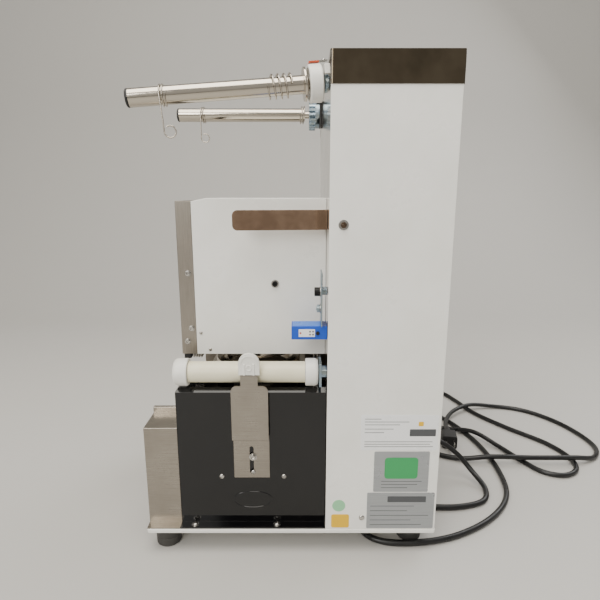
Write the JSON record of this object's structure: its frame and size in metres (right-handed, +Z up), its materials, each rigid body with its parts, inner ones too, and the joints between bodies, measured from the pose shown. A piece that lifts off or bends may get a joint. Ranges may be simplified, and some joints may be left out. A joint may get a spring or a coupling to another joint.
{
  "type": "film cup sealing machine",
  "caption": "Bench-top automatic film cup sealer: rear tower, sealing head, sliding cup tray, two film spindles, two guide rollers, folded guard and a loose mains lead.",
  "frame": {"origin": "on the table, under the middle of the base plate", "axes": "+Z up, -Y towards the operator where the cup tray comes out, +X towards the side that carries the supply spindle and the print-mark sensor"},
  "size_m": [0.5042, 0.7153, 0.582],
  "materials": {
    "white_paint": "gloss white powder coat",
    "brushed_steel": "brushed stainless",
    "polished_steel": "bright polished stainless",
    "zinc": "bright zinc plate",
    "aluminium": "cast and machined",
    "black_gloss": "high gloss moulded",
    "black_plastic": "moulded",
    "grey_rubber": "moulded",
    "cord_rubber": "smooth PVC jacket",
    "white_nylon": "turned nylon",
    "ivory_plastic": "aged acetal tube",
    "blue_plastic": "moulded",
    "orange_felt": "felt pad",
    "green_board": "circuit board",
    "green_button": "moulded",
    "red_switch": "moulded"
  },
  "bodies": {
    "machine": {"base_plate": "white_paint", "foot_front_right": "grey_rubber", "foot_front_left": "grey_rubber", "foot_rear_right": "grey_rubber", "foot_rear_left": "grey_rubber", "tower_panel_right": "white_paint", "tower_panel_left": "white_paint", "tower_front_panel": "polished_steel", "tower_rear_panel": "white_paint", "tower_top_cap": "polished_steel", "takeup_gearmotor": "aluminium", "power_supply": "aluminium", "control_board": "green_board", "head_cover": "white_paint", "head_front_panel": "brushed_steel", "control_panel": "black_gloss", "press_guide_rod_right": "polished_steel", "press_guide_rod_left": "polished_steel", "press_gearmotor": "aluminium", "side_housing_right": "black_gloss", "side_housing_left": "black_gloss", "cup_guard": "brushed_steel", "tray_rail_right": "brushed_steel", "tray_rail_left": "brushed_steel", "roller_axle_right": "zinc", "roller_axle_left": "zinc", "support_bracket": "brushed_steel", "roller_saddle": "white_nylon", "film_guide_plate": "polished_steel", "mark_sensor": "blue_plastic", "sensor_stand": "zinc", "supply_bearing": "zinc", "brake_pad": "orange_felt", "takeup_bearing": "black_plastic", "cable_gland": "black_plastic", "mains_cord": "cord_rubber", "mains_plug": "black_plastic"},
    "supply_reel": {"supply_spindle": "polished_steel", "supply_end_plug": "black_plastic", "supply_spring": "polished_steel", "supply_brake_wheel": "white_nylon"},
    "supply_stop": {"supply_clip": "polished_steel"},
    "takeup_reel": {"takeup_spindle": "polished_steel", "takeup_end_plug": "black_plastic", "takeup_spring": "polished_steel", "takeup_gear": "zinc"},
    "takeup_stop": {"takeup_clip": "polished_steel"},
    "right_roller": {"roller_tube_right": "ivory_plastic", "roller_cap_front_right": "white_nylon", "roller_cap_rear_right": "white_nylon"},
    "left_roller": {"roller_tube_left": "ivory_plastic"},
    "cup_drawer": {"cup_tray": "brushed_steel", "cup_ring": "polished_steel"},
    "seal_press": {"press_carriage": "aluminium", "heater_plate": "aluminium", "cutter_ring": "polished_steel"},
    "start_key": {"start_button": "green_button"},
    "tray_key": {"tray_button": "white_nylon"},
    "power_rocker": {"power_switch": "red_switch"},
    "sensor_dial": {"sensor_knob": "black_plastic"}
  },
  "joints": [
    {"name": "supply_spin", "type": "hinge", "parent": "machine", "child": "supply_reel", "pos_m": [0.0973, 0.0425, 0.5574], "axis": [0.1115, -0.9892, -0.0952], "continuous": true},
    {"name": "supply_stop_slide", "type": "slide", "parent": "supply_reel", "child": "supply_stop", "axis": [-0.1115, 0.9892, 0.0952], "range_m": [-0.025, 0.105]},
    {"name": "takeup_spin", "type": "hinge", "parent": "machine", "child": "takeup_reel", "pos_m": [-0.108, 0.0425, 0.556], "axis": [0, -1, 0], "continuous": true},
    {"name": "takeup_stop_slide", "type": "slide", "parent": "takeup_reel", "child": "takeup_stop", "axis": [0, 1, 0], "range_m": [-0.025, 0.13]},
    {"name": "right_roller_spin", "type": "hinge", "parent": "machine", "child": "right_roller", "pos_m": [0.1135, 0, 0.233], "axis": [0, 1, 0], "continuous": true},
    {"name": "left_roller_spin", "type": "hinge", "parent": "machine", "child": "left_roller", "pos_m": [-0.1135, 0, 0.233], "axis": [0, 1, 0], "continuous": true},
    {"name": "tray_slide", "type": "slide", "parent": "machine", "child": "cup_drawer", "axis": [0, -1, 0], "range_m": [0, 0.13]},
    {"name": "press_slide", "type": "slide", "parent": "machine", "child": "seal_press", "axis": [0, 0, -1], "range_m": [0, 0.0105], "stiffness_N_per_m": 6000, "springref_m": -0.01},
    {"name": "start_button_press", "type": "slide", "parent": "machine", "child": "start_key", "axis": [0, 1, 0], "range_m": [0, 0.0015], "stiffness_N_per_m": 300, "springref_m": -0.001},
    {"name": "tray_button_press", "type": "slide", "parent": "machine", "child": "tray_key", "axis": [0, 1, 0], "range_m": [0, 0.0015], "stiffness_N_per_m": 300, "springref_m": -0.001},
    {"name": "power_rocker_tilt", "type": "hinge", "parent": "machine", "child": "power_rocker", "pos_m": [0.026, -0.1406, 0.361], "axis": [-1, 0, 0], "range_deg": [0, 14]},
    {"name": "sensor_knob_turn", "type": "hinge", "parent": "machine", "child": "sensor_dial", "pos_m": [0.1178, 0.0315, 0.282], "axis": [1, 0, 0], "range_deg": [-135, 135]}
  ]
}
